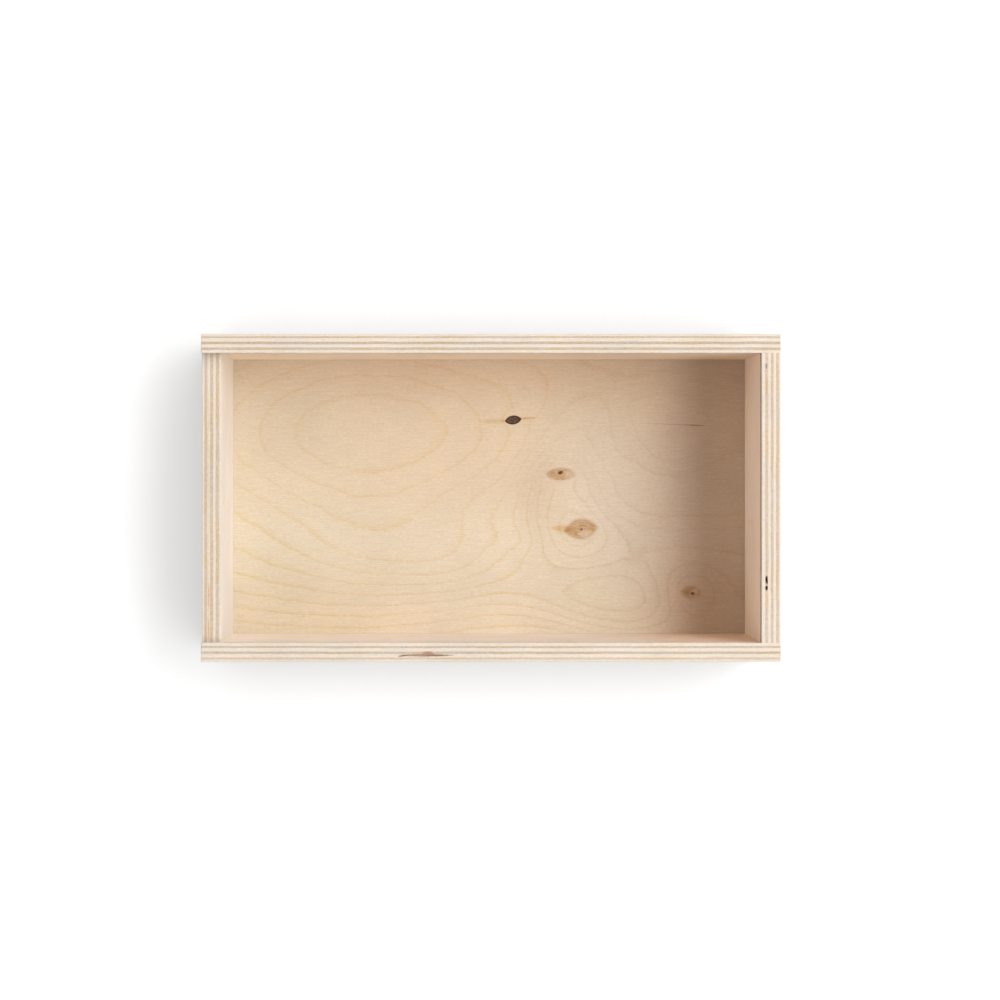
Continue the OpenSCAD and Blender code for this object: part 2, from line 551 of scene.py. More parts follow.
def scaled(tree, vector, amount):
    """Vector or colour times a plain value."""
    result = vector_calc(tree, "SCALE", vector)
    wire(tree, result.node.inputs["Scale"], amount)
    return result


def axes(tree, vector):
    """The three parts of a vector, by the name of their axis."""
    return add_node(tree, "SeparateXYZ", wires={"Vector": vector}).outputs


def facing(tree):
    """The way that the surface faces, by axis."""
    return axes(tree, add_node(tree, "NewGeometry").outputs["Normal"])


def ramp(tree, value, start, end, low=0.0, high=1.0):
    """Maps a value from one range to another on a soft curve, clamped at both ends."""
    node = add_node(
        tree, "MapRange", clamp=True, interpolation_type="SMOOTHSTEP",
        wires={"Value": value, "From Min": start, "From Max": end, "To Min": low, "To Max": high},
    )
    return node.outputs["Result"]


def spread(tree, value, low, high):
    """Maps the usual range of noise to another range."""
    return ramp(tree, value, *USUAL_NOISE, low, high)


def noise(tree, vector, scale=1.0, detail=2.0, roughness=0.5):
    """Noise texture's value."""
    wires = {"Vector": vector, "Scale": scale, "Detail": detail, "Roughness": roughness}
    return add_node(tree, "TexNoise", wires=wires).outputs["Fac"]


def drawn_noise(tree, place, stretch, detail, roughness):
    """Noise with a scale of its own along each axis."""
    return noise(tree, vector_calc(tree, "MULTIPLY", place, stretch), 1.0, detail, roughness)


def blend(tree, amount, first, second, mode="MIX"):
    """Mix node on two colours."""
    node = add_node(tree, "Mix", data_type="RGBA", blend_type=mode, clamp_factor=True)
    for index, value in ((0, amount), (6, first), (7, second)):
        if not isinstance(value, bpy.types.NodeSocket) and index > 0:
            value = (*value, 1.0)
        wire(tree, node.inputs[index], value)
    return node.outputs[2]


def tinted(tree, base, tint, amount):
    """Base colour times a tint, as far as the amount says."""
    return blend(tree, amount, base, tint, mode="MULTIPLY")


def mix_value(tree, amount, first, second):
    """Mix node on two plain values."""
    node = add_node(tree, "Mix", data_type="FLOAT", clamp_factor=True)
    for index, value in ((0, amount), (2, first), (3, second)):
        wire(tree, node.inputs[index], value)
    return node.outputs[0]


def new_group(name, inputs, outputs):
    """Empty shader group with named sockets; returns it with its input and output nodes' sockets."""
    group = bpy.data.node_groups.new(name, "ShaderNodeTree")
    for label, kind, default in inputs:
        socket = group.interface.new_socket(label, in_out="INPUT", socket_type=f"NodeSocket{kind}")
        if default is not None:
            socket.default_value = default
    for label in outputs:
        group.interface.new_socket(label, in_out="OUTPUT", socket_type="NodeSocketFloat")
    given = group.nodes.new("NodeGroupInput")
    result = group.nodes.new("NodeGroupOutput")
    return group, given.outputs, result.inputs


def use_group(tree, name, **wires):
    """Places a shader group, made when it is first used; the wires' underscores stand for spaces."""
    node = add_node(tree, "Group", node_tree=bpy.data.node_groups.get(name) or GROUPS[name]())
    for label, value in wires.items():
        wire(tree, node.inputs[label.replace("_", " ")], value)
    return node.outputs


# ---- shader groups ----


def ply_layers_group():
    """Which ply a depth below the inner face lies in, of the seven in a board."""
    group, given, result = new_group(
        "Ply layers",
        [
            ("Depth", "Float", 0.0), ("First Cross", "Float", 2.6), ("Pitch", "Float", 3.65),
            ("Cross Widths", "Vector", (1.7, 1.7, 1.7)), ("Cross Tones", "Vector", (1.0, 1.0, 1.0)),
        ],
        ["Cross", "Glue", "Ply", "Tone"],
    )
    steps = calc(group, "DIVIDE", minus(group, given["Depth"], given["First Cross"]), given["Pitch"])
    nearest = calc(group, "ROUND", steps)
    off = times(group, size_of(group, minus(group, steps, nearest)), given["Pitch"])
    widths = axes(group, given["Cross Widths"])
    tones = axes(group, given["Cross Tones"])
    half_width = 0.0
    tone = 0.0
    for index, axis in enumerate("XYZ"):
        # One half in the cross ply of this number, and nothing elsewhere
        half = calc(group, "SUBTRACT", 0.5, size_of(group, minus(group, nearest, float(index))), clamp=True)
        half_width = times_plus(group, widths[axis], half, half_width)
        tone = times_plus(group, tones[axis], times(group, half, 2.0), tone)
    cross = ramp(
        group, off, minus(group, half_width, PLY_BLUR), plus(group, half_width, PLY_BLUR), 1.0, 0.0,
    )
    from_joint = size_of(group, minus(group, off, half_width))
    between = plus(group, calc(group, "FLOOR", steps), 0.5)
    wire(group, result["Cross"], cross)
    wire(group, result["Glue"], ramp(group, from_joint, 0.0, GLUE_REACH, 1.0, 0.0))
    wire(group, result["Ply"], mix_value(group, cross, between, nearest))
    wire(group, result["Tone"], mix_value(group, cross, 1.0, tone))
    return group


def fibre_group():
    """Fine fibre streaks, drawn out along one axis, and slow patches of tone."""
    group, given, result = new_group(
        "Wood fibre",
        [("Vector", "Vector", None), ("Stretch", "Vector", (0.05, 1.0, 1.0)), ("Seed", "Float", 0.0)],
        ["Streak", "Hair", "Patch"],
    )
    drawn = vector_calc(group, "MULTIPLY", given["Vector"], given["Stretch"])
    seeded = vector_calc(group, "ADD", drawn, scaled(group, (7.3, 3.1, 5.9), given["Seed"]))
    wire(group, result["Streak"], noise(group, seeded, 0.9, 3.0, 0.6))
    wire(group, result["Hair"], noise(group, seeded, 3.2, 2.0, 0.6))
    wire(group, result["Patch"], noise(group, given["Vector"], 0.02))
    return group


def flat_offset(group, given):
    """Way from a feature's centre to the place, level with the floor."""
    offset = vector_calc(group, "SUBTRACT", given["Vector"], given["Centre"])
    return vector_calc(group, "MULTIPLY", offset, (1.0, 1.0, 0.0))


def swell_group():
    """How far a swell lifts the level of the growth rings."""
    group, given, result = new_group(
        "Growth swell",
        [
            ("Vector", "Vector", None), ("Centre", "Vector", (0.0, 0.0, 0.0)),
            ("Reach", "Vector", (30.0, 20.0, 1.0)), ("Height", "Float", 1.0), ("Sharpness", "Float", 1.0),
        ],
        ["Level"],
    )
    away = vector_calc(group, "DIVIDE", flat_offset(group, given), given["Reach"])
    away = vector_calc(group, "LENGTH", away, output="Value")
    fade = calc(group, "POWER", away, times(group, given["Sharpness"], 2.0))
    fade = calc(group, "EXPONENT", times(group, fade, -1.0))
    wire(group, result["Level"], times(group, fade, given["Height"]))
    return group


def ring_group():
    """Late wood at each whole level: a thin line that fades out towards the earlier wood."""
    group, given, result = new_group(
        "Growth ring", [("Level", "Float", 0.0), ("Width", "Float", 0.2)], ["Line"],
    )
    part = calc(group, "FRACT", given["Level"])
    tail = ramp(group, part, 0.0, given["Width"], 1.0, 0.0)
    core = ramp(group, part, 0.0, times(group, given["Width"], 0.45), 1.0, 0.0)
    line = plus(group, times(group, tail, 0.4), times(group, core, 0.6))
    sharp_edge = ramp(group, part, 0.975, 1.0)
    wire(group, result["Line"], calc(group, "MAXIMUM", line, sharp_edge))
    return group


def knot_group():
    """Distance from the middle of a knot, 1 at its edge; it is pointed at both ends like an eye."""
    group, given, result = new_group(
        "Knot",
        [
            ("Vector", "Vector", None), ("Centre", "Vector", (0.0, 0.0, 0.0)),
            ("Radii", "Vector", (5.0, 3.0, 1.0)), ("Turn", "Float", 0.0), ("Point", "Float", 0.5),
            ("Ragged", "Float", 0.2),
        ],
        ["Distance"],
    )
    turned = add_node(
        group, "VectorRotate", rotation_type="Z_AXIS",
        wires={"Vector": flat_offset(group, given), "Angle": given["Turn"]},
    ).outputs["Vector"]
    away = vector_calc(group, "DIVIDE", turned, given["Radii"])
    parts = axes(group, away)
    oval = vector_calc(group, "LENGTH", away, output="Value")
    eye = plus(group, calc(group, "POWER", parts["X"], 2.0), size_of(group, parts["Y"]))
    plain = mix_value(group, given["Point"], oval, eye)
    rough = minus(group, noise(group, given["Vector"], 0.9, 3.0), 0.5)
    wire(group, result["Distance"], times_plus(group, rough, given["Ragged"], plain))
    return group


GROUPS = {
    "Ply layers": ply_layers_group,
    "Wood fibre": fibre_group,
    "Growth swell": swell_group,
    "Growth ring": ring_group,
    "Knot": knot_group,
}


# ---- wood and steel ----


def new_material(name):
    """Node material with its Principled BSDF and output."""
    material = bpy.data.materials.new(name)
    material.use_nodes = True
    tree = material.node_tree
    tree.nodes.clear()
    shader = add_node(tree, "BsdfPrincipled")
    output = add_node(tree, "OutputMaterial")
    tree.links.new(shader.outputs["BSDF"], output.inputs["Surface"])
    return material, tree, shader


def place_in_mm(tree):
    """Place on the box in millimetres."""
    coordinates = add_node(tree, "TexCoord")
    return vector_calc(tree, "MULTIPLY", coordinates.outputs["Object"], (1000.0, 1000.0, 1000.0))


def relief(tree, shader, height, distance, strength):
    """Bump in the surface, its distance in metres."""
    wires = {"Height": height, "Distance": distance, "Strength": strength}
    bump = add_node(tree, "Bump", wires=wires)
    wire(tree, shader.inputs["Normal"], bump.outputs["Normal"])


def bare_wood(tree, shader, base, hair, smoothest, roughest):
    """Colour and sheen of unvarnished wood, whose roughness follows its fine fibres."""
    wire(tree, shader.inputs["Base Color"], base)
    wire(tree, shader.inputs["Roughness"], ramp(tree, hair, 0.2, 0.8, smoothest, roughest))
    shader.inputs["Specular IOR Level"].default_value = 0.2


def fibre_swing(tree, streak, hair):
    """Light and dark of the fibres, between -1 and 1."""
    return plus(tree, spread(tree, streak, -0.5, 0.5), spread(tree, hair, -0.5, 0.5))


def fibre_teeth(tree, place, along):
    """Fine raggedness that the fibres give to a growth ring, either side of 0."""
    stretch = (0.25, 3.5, 3.5) if along == "X" else (3.5, 0.25, 3.5)
    return minus(tree, drawn_noise(tree, place, stretch, 2.0, 0.6), 0.5)


def knot_at(tree, place, spot, ragged=0.2):
    """Distance from a knot given as x, y, half length, half width, slope in degrees and point."""
    x, y, half_length, half_width, slope, point = spot
    knot = use_group(
        tree, "Knot", Vector=place, Centre=(x, y, 0.0), Radii=(half_length, half_width, 1.0),
        Turn=math.radians(-slope), Point=point, Ragged=ragged,
    )
    return knot["Distance"]


def board_depth(tree, place, moved, along):
    """Depth below a board's inner face in mm, with the slow waver of its plies."""
    across, inner = ("Y", INNER_Y) if along == "X" else ("X", INNER_X)
    depth = minus(tree, size_of(tree, axes(tree, place)[across]), inner / MM)
    waver = minus(tree, noise(tree, moved, 0.045, 3.0), 0.5)
    return times_plus(tree, waver, 0.8, depth)


def board_material(name, along, seed):
    """Plywood of an upright board; its fibres run along x or y, and it is thick the other way."""
    tone = colours()
    material, tree, shader = new_material(f"{name}_plywood")
    place = place_in_mm(tree)
    moved = vector_calc(tree, "ADD", place, (seed * 31.0, seed * 17.0, 0.0))
    turned = facing(tree)
    depth = board_depth(tree, place, moved, along)
    first_cross, pitch, widths, tones = PLIES[name]
    layers = use_group(
        tree, "Ply layers", Depth=depth, First_Cross=first_cross, Pitch=pitch,
        Cross_Widths=widths, Cross_Tones=tones,
    )
    # The cross plies stand on end, and the others lie along the board
    own_seed = plus(tree, layers["Ply"], seed * 10.0)
    lengthwise = (0.04, 1.0, 1.0) if along == "X" else (1.0, 0.04, 1.0)
    lying = use_group(tree, "Wood fibre", Vector=place, Stretch=lengthwise, Seed=own_seed)
    standing = use_group(tree, "Wood fibre", Vector=place, Stretch=(1.6, 1.6, 0.06), Seed=own_seed)
    streak = mix_value(tree, layers["Cross"], lying["Streak"], standing["Streak"])
    hair = mix_value(tree, layers["Cross"], lying["Hair"], standing["Hair"])
    end_on = mix_value(
        tree, layers["Cross"], size_of(tree, turned[along]), size_of(tree, turned["Z"]),
    )
    end_on = ramp(tree, end_on, 0.3, 0.9)
    on_face = ramp(tree, size_of(tree, turned["Y" if along == "X" else "X"]), 0.75, 0.95)
    on_edge = minus(tree, 1.0, on_face)
    # Colours of the cut edges and of the two faces
    own_place = vector_calc(tree, "ADD", place, scaled(tree, (23.0, 23.0, 23.0), own_seed))
    slow = ramp(tree, noise(tree, own_place, 0.05, 3.0, 0.6), 0.38, 0.62)
    cut_grain = blend(tree, slow, tone.end_grain, tone.grey_grain)
    edge = blend(tree, end_on, tone.long_grain, cut_grain)
    inside = ramp(tree, depth, 4.0, 8.0, 1.0, 0.0)
    base = blend(tree, on_face, edge, face_veneer(tree, place, moved, along, inside, name))
    glue = times(tree, layers["Glue"], ramp(tree, streak, 0.35, 0.65, 0.1, 0.5), on_edge)
    base = blend(tree, glue, base, tone.glue)
    # Light and dark of the fibres, the flecks of the cut edges and slow patches
    swing = mix_value(tree, end_on, 0.07, 0.15)
    tint = times_plus(tree, fibre_swing(tree, streak, hair), swing, layers["Tone"])
    drawn = (0.55, 1.4, 0.06) if along == "X" else (1.4, 0.55, 0.06)
    fleck = ramp(tree, drawn_noise(tree, own_place, drawn, 3.0, 0.7), 0.25, 0.75, -0.16, 0.16)
    fleck = times(tree, fleck, on_edge, mix_value(tree, end_on, 0.45, 1.0))
    patch = spread(tree, lying["Patch"], 0.97, 1.03)
    base = scaled(tree, base, times(tree, plus(tree, tint, fleck), patch))
    on_top = ramp(tree, turned["Z"], 0.5, 0.8)
    in_hollow = ramp(tree, turned["Z"], -0.5, 0.0)
    for spot, stuff, strength in EDGE_MARKS[name]:
        mark = ramp(tree, knot_at(tree, place, spot, 0.9), 0.45, 1.15, strength, 0.0)
        # Dark marks reach into hollows: real bark, and painted shade in the stop board's hollows
        mark = times(tree, mark, in_hollow if stuff == "dark_bark_and_hollow_shade" else on_top)
        base = blend(tree, mark, base, getattr(tone, stuff))
    bare_wood(tree, shader, base, hair, 0.58, 0.74)
    height = minus(tree, plus(tree, hair, streak), times(tree, layers["Glue"], 0.5))
    relief(tree, shader, height, 0.08 * MM, 0.6)
    return material


def face_veneer(tree, place, moved, along, inside, name):
    """Plain veneer of an upright board's faces, with long drawn-out growth rings, and painted light and
    shade on the inner face.
    """
    tone = colours()
    parts = axes(tree, place)
    field = drawn_noise(tree, moved, (0.007, 0.007, 0.030), 1.5, 0.45)
    level = times_plus(tree, field, 14.0, times(tree, parts["Z"], 0.035))
    level = times_plus(tree, fibre_teeth(tree, place, along), 0.12, level)
    rings = use_group(tree, "Growth ring", Level=level, Width=0.30)
    # Painted light, in part: each board's tint lifts or lowers its inner face for the light that it gets
    inner_face_and_painted_light = [value * part for value, part in zip(tone.face, FACE_TINTS_AND_PAINTED_LIGHT[name])]
    base = blend(tree, inside, tone.outer_face, inner_face_and_painted_light)
    # Painted shade: the inner face grows darker and warmer towards the stop end or the rear end
    painted_shade_reach = (60.0, 150.0) if along == "X" else (20.0, 80.0)
    painted_shade_amount = ramp(tree, parts[along], *painted_shade_reach)
    base = tinted(tree, base, FAR_END_PAINTED_SHADE[name], times(tree, painted_shade_amount, inside))
    strength = spread(tree, noise(tree, moved, 0.03), 0.35, 0.8)
    return tinted(tree, base, tone.ring, times(tree, rings["Line"], strength))


def floor_place(tree):
    """Place on the floor panel in mm; its underside is another sheet of veneer, without knots."""
    underside = ramp(tree, facing(tree)["Z"], -0.5, 0.0, 1.0, 0.0)
    other_sheet = scaled(tree, (0.0, 400.0, 0.0), underside)
    return vector_calc(tree, "ADD", place_in_mm(tree), other_sheet)


def floor_tints_and_painted_shade(tree, place):
    """Colour of the floor's veneer before its rings, with its broad tints and patches, painted shade
    towards the rear and the stop end, and a painted light along the front edge.
    """
    tone = colours()
    parts = axes(tree, place)
    base = tone.floor
    # Broad tints; those of the rear and the stop end are painted shade
    for setting, along_x, along_y in FLOOR_TINTS_AND_PAINTED_SHADE:
        amount = ramp(tree, parts["X"], *along_x)
        if along_y:
            amount = times(tree, ramp(tree, parts["Y"], *along_y), amount)
        base = tinted(tree, base, getattr(tone, setting), amount)
    # Patches of the veneer, and a painted light along the front edge
    for spot, tint in STAINS_AND_PAINTED_LIGHT:
        amount = ramp(tree, knot_at(tree, place, spot), 0.4, 1.6, 1.0, 0.0)
        base = tinted(tree, base, tint, amount)
    return base


def growth_level(tree, place):
    """Level of the tree's rings over the floor's face veneer, with their small waver."""
    foot = FALL_FROM - FALL_LENGTH
    level = ramp(tree, axes(tree, place)["Y"], foot, FALL_FROM, REAR_LEVEL - LEVEL_FALL, REAR_LEVEL)
    for x, y, reach_x, reach_y, height, sharpness in SWELLS:
        swell = use_group(
            tree, "Growth swell", Vector=place, Centre=(x, y, 0.0), Reach=(reach_x, reach_y, 1.0),
            Height=height, Sharpness=sharpness,
        )
        level = plus(tree, level, swell["Level"])
    slow = minus(tree, drawn_noise(tree, place, (0.06, 0.12, 0.1), 3.0, 0.6), 0.5)
    level = times_plus(tree, slow, 0.38, level)
    return times_plus(tree, fibre_teeth(tree, place, "X"), 0.24, level)


def floor_rings(tree, place, base):
    """Lays the growth rings over the floor's veneer; returns the colour and each year's own tone."""
    tone = colours()
    parts = axes(tree, place)
    level = growth_level(tree, place)
    front = ramp(tree, parts["Y"], -70.0, 30.0, 1.0, 0.0)
    rings = use_group(tree, "Growth ring", Level=level, Width=mix_value(tree, front, 0.26, 0.42))
    slow = spread(tree, noise(tree, place, 0.03), 0.45, 0.9)
    broken = spread(tree, drawn_noise(tree, place, (0.16, 1.1, 1.1), 3.0, 0.6), 0.55, 1.2)
    bolder = ramp(tree, parts["Y"], -70.0, -30.0, 1.35, 1.0)
    old = ramp(tree, parts["X"], 5.0, 70.0)
    ring = blend(tree, old, tone.ring, tone.old_ring)
    base = tinted(tree, base, ring, times(tree, slow, broken, bolder, rings["Line"]))
    whole_level = calc(tree, "FLOOR", level)
    year = add_node(tree, "TexWhiteNoise", noise_dimensions="1D", wires={"W": whole_level})
    shade = times(tree, year.outputs["Value"], mix_value(tree, old, 0.02, 0.045))
    return base, minus(tree, 1.0, shade)


def live_knot(tree, place, base, spot, pale, heart, strength, heart_strength):
    """Amber knot with its own fine rings, a paler side and a small dark heart."""
    tone = colours()
    away = knot_at(tree, place, spot)
    body = ramp(tree, away, 0.66, 1.12, strength, 0.0)
    rings = times(tree, calc(tree, "SINE", times(tree, away, 26.0)), 0.07)
    blotch = spread(tree, drawn_noise(tree, place, (0.30, 0.75, 1.0), 3.0, 0.65), -0.22, 0.22)
    depth = plus(tree, plus(tree, rings, blotch), 0.78)
    pale_side = ramp(tree, knot_at(tree, place, pale), 0.4, 1.3, 0.55, 1.0)
    base = tinted(tree, base, tone.amber, times(tree, body, depth, pale_side))
    core = ramp(tree, knot_at(tree, place, heart, 0.6), 0.5, 1.2, heart_strength, 0.0)
    return blend(tree, core, base, tone.knot_heart)


def floor_knots(tree, place, base):
    """Lays the knots and the split over the floor; returns the colour and the dead knot's mask."""
    tone = colours()
    for tail, deep in KNOT_TAILS:
        amount = ramp(tree, knot_at(tree, place, tail), 0.2, 1.1, deep, 0.0)
        base = tinted(tree, base, tone.tail, amount)
    for knot in LIVE_KNOTS:
        base = live_knot(tree, place, base, *knot)
    away = knot_at(tree, place, DEAD_KNOT, 0.12)
    crumbs = ramp(tree, noise(tree, place, 0.9, 4.0), 0.4, 0.62)
    bark = blend(tree, crumbs, tone.knot_bark, tone.knot_dead)
    bark = blend(tree, ramp(tree, away, 0.62, 0.86), bark, tone.knot_bark)
    dead = ramp(tree, away, 0.98, 1.08, 1.0, 0.0)
    base = blend(tree, dead, base, bark)
    for split, deep in CRACKS:
        amount = ramp(tree, knot_at(tree, place, split, 0.3), 0.5, 1.1, deep, 0.0)
        base = tinted(tree, base, tone.crack, amount)
    return base, dead


def floor_material():
    """Rotary-cut face veneer of the floor panel, with its growth rings and knots."""
    material, tree, shader = new_material("floor_plywood")
    place = floor_place(tree)
    base, year_tone = floor_rings(tree, place, floor_tints_and_painted_shade(tree, place))
    fibre = use_group(tree, "Wood fibre", Vector=place, Stretch=(0.05, 1.0, 1.0), Seed=3.0)
    grain = times_plus(tree, fibre_swing(tree, fibre["Streak"], fibre["Hair"]), 0.05, 1.05)
    patch = spread(tree, fibre["Patch"], 0.975, 1.025)
    base = scaled(tree, base, times(tree, grain, year_tone, patch))
    fleck = drawn_noise(tree, place, (0.40, 2.7, 2.7), 2.0, 0.6)
    line = drawn_noise(tree, place, (0.10, 2.1, 2.1), 2.0, 0.55)
    fleck = times_plus(tree, fleck, 0.6, times(tree, line, 0.4))
    base = tinted(tree, base, colours().fleck, ramp(tree, fleck, 0.38, 0.62))
    base, dead = floor_knots(tree, place, base)
    bare_wood(tree, shader, base, fibre["Hair"], 0.55, 0.7)
    height = plus(tree, fibre["Hair"], fibre["Streak"])
    height = times_plus(tree, dead, noise(tree, place, 1.4, 4.0), height)
    relief(tree, shader, height, 0.05 * MM, 0.5)
    return material


def steel_material():
    """Bright drawn wire."""
    material, tree, shader = new_material("brad_steel")
    drawn = vector_calc(tree, "MULTIPLY", place_in_mm(tree), (4.0, 0.3, 4.0))
    scratch = noise(tree, drawn, 1.5, 3.0)
    base = blend(tree, ramp(tree, scratch, 0.35, 0.7), colours().steel, (0.42, 0.41, 0.40))
    wire(tree, shader.inputs["Base Color"], base)
    wire(tree, shader.inputs["Roughness"], spread(tree, scratch, 0.28, 0.5))
    shader.inputs["Metallic"].default_value = 1.0
    relief(tree, shader, scratch, 0.02 * MM, 0.4)
    return material


# ---- boards ----


def groove_across(sign, inner, depth):
    """Range of a groove across a board, from just off its inner face to the groove's bottom."""
    return sorted((sign * (inner - PAST_FACE), sign * (inner + depth)))


def brad_holes(wall_sign):
    """Cutters for the brads' holes through one side board and into both ends."""
    size = sizes()
    cutters = []
    wall = "rear" if wall_sign > 0 else "front"
    for node in (name for name in BRAD_NODES if name.startswith(f"brad_{wall}")):
        low, high = corners(node)
        centre = (low + high) / 2
        head_y = max(abs(low.y), abs(high.y))
        tip_y = min(abs(low.y), abs(high.y)) - size.brad_end_gap
        seat_y = head_y - size.brad_head
        face_y = wall_sign * (HALF_WIDTH + PAST_FACE)
        for inner, radius in ((tip_y, size.brad_shank / 2), (seat_y, (high.x - low.x) / 2)):
            inside = (centre.x, wall_sign * inner, centre.z)
            outside = (centre.x, face_y, centre.z)
            cutters.append(add_rod(f"{node}_cutter", inside, outside, radius + size.brad_gap))
    return cutters


def side_board(wall_sign, name):
    """Long side board with its floor groove, its lid groove and its brads' holes."""
    size = sizes()
    inner = wall_sign * INNER_Y
    outer = wall_sign * HALF_WIDTH
    y_low, y_high = sorted((inner, outer))
    board = add_block(name, (-HALF_LENGTH, y_low, 0.0), (HALF_LENGTH, y_high, RIM))
    slice_at(board, (INNER_X, 0, 0), (1, 0, 0))
    slice_at(board, (-INNER_X, 0, 0), (1, 0, 0))
    slice_at(board, (0, 0, LOW_RIM), (0, 0, 1))

    def outline(a, b):
        middle = (a + b) / 2
        on_end = near(abs(a.x), HALF_LENGTH) and near(abs(b.x), HALF_LENGTH)
        on_level = near(a.z, b.z) and (near(a.z, RIM) or near(a.z, 0.0))
        on_outer = near(a.y, outer) and near(b.y, outer)
        on_inner = near(a.y, inner) and near(b.y, inner)
        runs_long = near(a.y, b.y) and near(a.z, b.z)
        free = abs(middle.x) < INNER_X or (middle.x < 0 and middle.z > LOW_RIM)
        if runs_long:
            return on_level and (on_outer or (on_inner and free))
        if on_end:
            return on_level or on_outer or (on_inner and free)
        return False

    ease_edges(board, outline, size.arris)
    reach = FLOOR_HIGH.x + size.floor_edge_gap
    depth = FLOOR_HIGH.y - INNER_Y + size.floor_edge_gap
    y_low, y_high = groove_across(wall_sign, INNER_Y, depth)
    floor_groove = add_block(
        "floor_groove_cutter",
        (-reach, y_low, FLOOR_LOW.z), (reach, y_high, FLOOR_HIGH.z + size.floor_top_gap),
    )
    y_low, y_high = groove_across(wall_sign, INNER_Y, size.lid_groove_depth)
    lid_groove = add_block(
        "lid_groove_cutter",
        (-HALF_LENGTH - PAST_FACE, y_low, LOW_RIM),
        (INNER_X + size.lid_groove_depth, y_high, LOW_RIM + size.lid_groove_height),
    )
    return cut_away(board, floor_groove, lid_groove, *brad_holes(wall_sign))


def end_board(end_sign, name, top):
    """End board with its floor groove, its brads' holes and, at full height, its lid groove."""
    size = sizes()
    x_low, x_high = sorted((end_sign * INNER_X, end_sign * HALF_LENGTH))
    board = add_block(name, (x_low, -INNER_Y, 0.0), (x_high, INNER_Y, top))
    ease_edges(board, lambda a, b: near(a.x, b.x) and near(a.z, b.z), size.arris)
    depth = FLOOR_HIGH.x - INNER_X + size.floor_edge_gap
    groove_top = LOW_RIM + size.lid_groove_height
    past = INNER_Y + PAST_FACE
    x_low, x_high = groove_across(end_sign, INNER_X, depth)
    floor_groove = add_block(
        "floor_groove_cutter",
        (x_low, -past, FLOOR_LOW.z), (x_high, past, FLOOR_HIGH.z + size.floor_top_gap),
    )
    cutters = [floor_groove]
    if top > groove_top:
        x_low, x_high = groove_across(end_sign, INNER_X, size.lid_groove_depth)
        cutters.append(add_block("lid_groove_cutter", (x_low, -past, LOW_RIM), (x_high, past, groove_top)))
        for x, y, *reach in VOIDS:
            radii = [value * MM for value in reach]
            cutters.append(add_pebble("void_cutter", (x * MM, y * MM, top), radii))
    return cut_away(board, *cutters, *brad_holes(1), *brad_holes(-1))


# ---- operators ----


class WINEBOX_OT_stage(bpy.types.Operator):
    """Set up the camera, the lamps, the room light and the pale ground"""

    bl_idname = "winebox.stage"
    bl_label = "Stage"

    def execute(self, context):
        self.add_camera(context)
        set_up = studio()
        self.add_lamp("core_lamp", set_up.core_reach, set_up.core_strength)
        self.add_lamp("wide_lamp", set_up.wide_reach, set_up.wide_strength)
        self.add_lamp("fill_lamp", set_up.fill_reach, set_up.fill_strength)
        self.add_room(context)
        self.add_ground()
        return {"FINISHED"}

    def add_camera(self, context):
        set_up = studio()
        lens = bpy.data.cameras.new("camera")
        lens.sensor_width = 36.0
        lens.lens = set_up.focal_length
        lens.shift_x = set_up.shift_x
        lens.shift_y = set_up.shift_y
        camera = bpy.data.objects.new("camera", lens)
        camera.location = (set_up.camera_x, set_up.camera_y, RIM + set_up.camera_rise)
        context.scene.collection.objects.link(camera)
        context.scene.camera = camera

    def add_lamp(self, name, reach, strength):
        """Level area lamp whose edges lie at four angles off the vertical over the box."""
        height = studio().lamp_height
        low_x, high_x, low_y, high_y = (height * math.tan(angle) for angle in reach)
        light = bpy.data.lights.new(name, "AREA")
        light.shape = "RECTANGLE"
        light.size = high_x - low_x
        light.size_y = high_y - low_y
        light.energy = strength * math.pi * light.size * light.size_y
        lamp = bpy.data.objects.new(name, light)
        lamp.location = ((low_x + high_x) / 2, (low_y + high_y) / 2, height)
        lamp.visible_camera = False
        bpy.context.scene.collection.objects.link(lamp)

    def add_room(self, context):
        world = bpy.data.worlds.new("room")
        world.use_nodes = True
        tree = world.node_tree
        tree.nodes.clear()
        towards = axes(tree, add_node(tree, "TexCoord").outputs["Generated"])
        lid_way = calc(tree, "MAXIMUM", times(tree, towards["X"], -0.85), 0.0)
        glow = times(tree, plus(tree, lid_way, size_of(tree, towards["Y"])), studio().room_glow)
        level = plus(tree, glow, studio().room_level)
        rays = add_node(tree, "LightPath").outputs
        seen = calc(tree, "MAXIMUM", rays["Is Camera Ray"], rays["Is Glossy Ray"])
        seen = calc(tree, "MAXIMUM", seen, rays["Is Transmission Ray"])
        light = add_node(tree, "Background", wires={"Color": (1.0, 1.0, 1.0, 1.0)})
        wire(tree, light.inputs["Strength"], mix_value(tree, seen, level, 1.0))
        output = add_node(tree, "OutputWorld")
        tree.links.new(light.outputs["Background"], output.inputs["Surface"])
        context.scene.world = world

    def add_ground(self):
        deselect_all()
        bpy.ops.mesh.primitive_plane_add(size=8.0)
        ground = settle(bpy.context.object, "ground")
        material, tree, shader = new_material("pale_ground")
        shader.inputs["Base Color"].default_value = (0.44, 0.44, 0.44, 1.0)
        shader.inputs["Roughness"].default_value = 0.9
        shader.inputs["Specular IOR Level"].default_value = 0.0
        shader.inputs["Emission Color"].default_value = (1.0, 1.0, 1.0, 1.0)
        rays = add_node(tree, "LightPath").outputs
        near_box = add_node(tree, "AmbientOcclusion", wires={"Distance": 60 * MM}, samples=4)
        shade = times_plus(tree, near_box.outputs["AO"], 0.7, 0.3)
        glow = times(tree, shade, studio().ground_glow, rays["Is Camera Ray"])
        wire(tree, shader.inputs["Emission Strength"], glow)
        ground.data.materials.append(material)


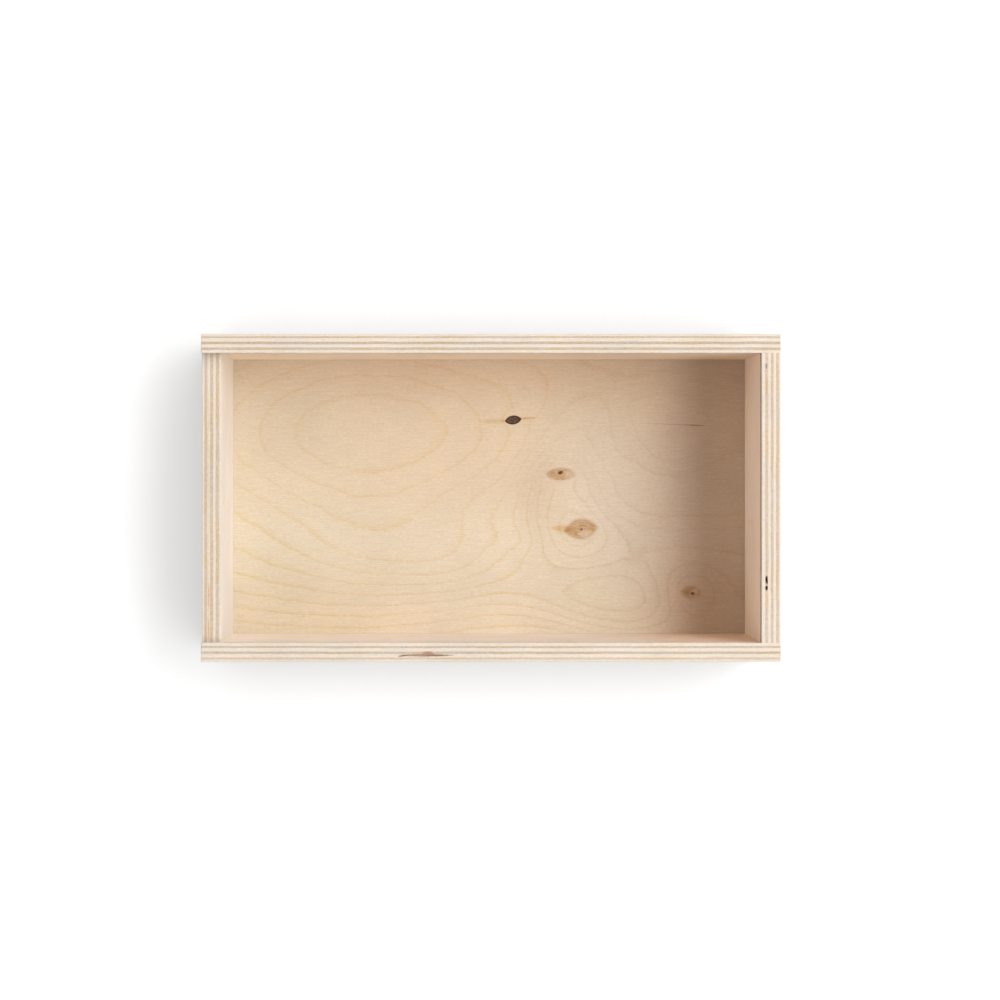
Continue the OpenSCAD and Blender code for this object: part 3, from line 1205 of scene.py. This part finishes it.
class WINEBOX_OT_side_boards(bpy.types.Operator):
    """Model the two long side boards"""

    bl_idname = "winebox.side_boards"
    bl_label = "Side boards"

    def execute(self, context):
        for sign, name, node, seed in (
            (1, "rear_board", "rear_side", 1.0),
            (-1, "front_board", "front_side", 2.0),
        ):
            board = side_board(sign, name)
            finish_piece(board, board_material(name, "X", seed), node)
        return {"FINISHED"}


class WINEBOX_OT_end_boards(bpy.types.Operator):
    """Model the full-height stop end and the low lid end"""

    bl_idname = "winebox.end_boards"
    bl_label = "End boards"

    def execute(self, context):
        for sign, name, node, top, seed in (
            (1, "stop_board", "stop_end", RIM, 3.0),
            (-1, "lid_board", "lid_end", LOW_RIM, 4.0),
        ):
            board = end_board(sign, name, top)
            finish_piece(board, board_material(name, "Y", seed), node)
        return {"FINISHED"}


class WINEBOX_OT_floor_sheet(bpy.types.Operator):
    """Model the floor panel with its knots"""

    bl_idname = "winebox.floor_sheet"
    bl_label = "Floor sheet"

    def execute(self, context):
        sheet = add_block("floor_sheet", FLOOR_LOW, FLOOR_HIGH)
        ease_edges(sheet, lambda a, b: True, sizes().panel_arris)
        finish_piece(sheet, floor_material(), "floor_panel")
        return {"FINISHED"}


class WINEBOX_OT_brads(bpy.types.Operator):
    """Finish the brads in bright wire"""

    bl_idname = "winebox.brads"
    bl_label = "Brads"

    def execute(self, context):
        material = steel_material()
        for name in BRAD_NODES:
            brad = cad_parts[name]
            brad.data.materials.clear()
            brad.data.materials.append(material)
        return {"FINISHED"}


class WINEBOX_PT_panel(bpy.types.Panel):
    """Wine box tools in the sidebar"""

    bl_idname = "WINEBOX_PT_panel"
    bl_label = "Wine Box"
    bl_space_type = "VIEW_3D"
    bl_region_type = "UI"
    bl_category = "Wine Box"

    def draw(self, context):
        for step in STEPS:
            self.layout.operator(step.bl_idname)
        for group in SETTINGS:
            settings = getattr(context.scene, group)
            column = self.layout.column()
            for name in settings.bl_rna.properties.keys():
                if name not in ("rna_type", "name"):
                    column.prop(settings, name)


STEPS = (
    WINEBOX_OT_stage,
    WINEBOX_OT_side_boards,
    WINEBOX_OT_end_boards,
    WINEBOX_OT_floor_sheet,
    WINEBOX_OT_brads,
)
SETTINGS = {
    "wine_box_sizes": WineBoxSizes,
    "wine_box_colours": WineBoxColours,
    "wine_box_studio": WineBoxStudio,
}
CLASSES = (*SETTINGS.values(), *STEPS, WINEBOX_PT_panel)


def register():
    for cls in CLASSES:
        bpy.utils.register_class(cls)
    for name, group in SETTINGS.items():
        setattr(bpy.types.Scene, name, PointerProperty(type=group))


def unregister():
    for name in SETTINGS:
        delattr(bpy.types.Scene, name)
    for cls in reversed(CLASSES):
        bpy.utils.unregister_class(cls)


def main():
    register()
    bpy.context.scene.view_settings.view_transform = "Standard"
    bpy.ops.winebox.stage()
    bpy.ops.winebox.side_boards()
    bpy.ops.winebox.end_boards()
    bpy.ops.winebox.floor_sheet()
    bpy.ops.winebox.brads()
    bpy.context.view_layer.update()


if __name__ == "__main__":
    main()
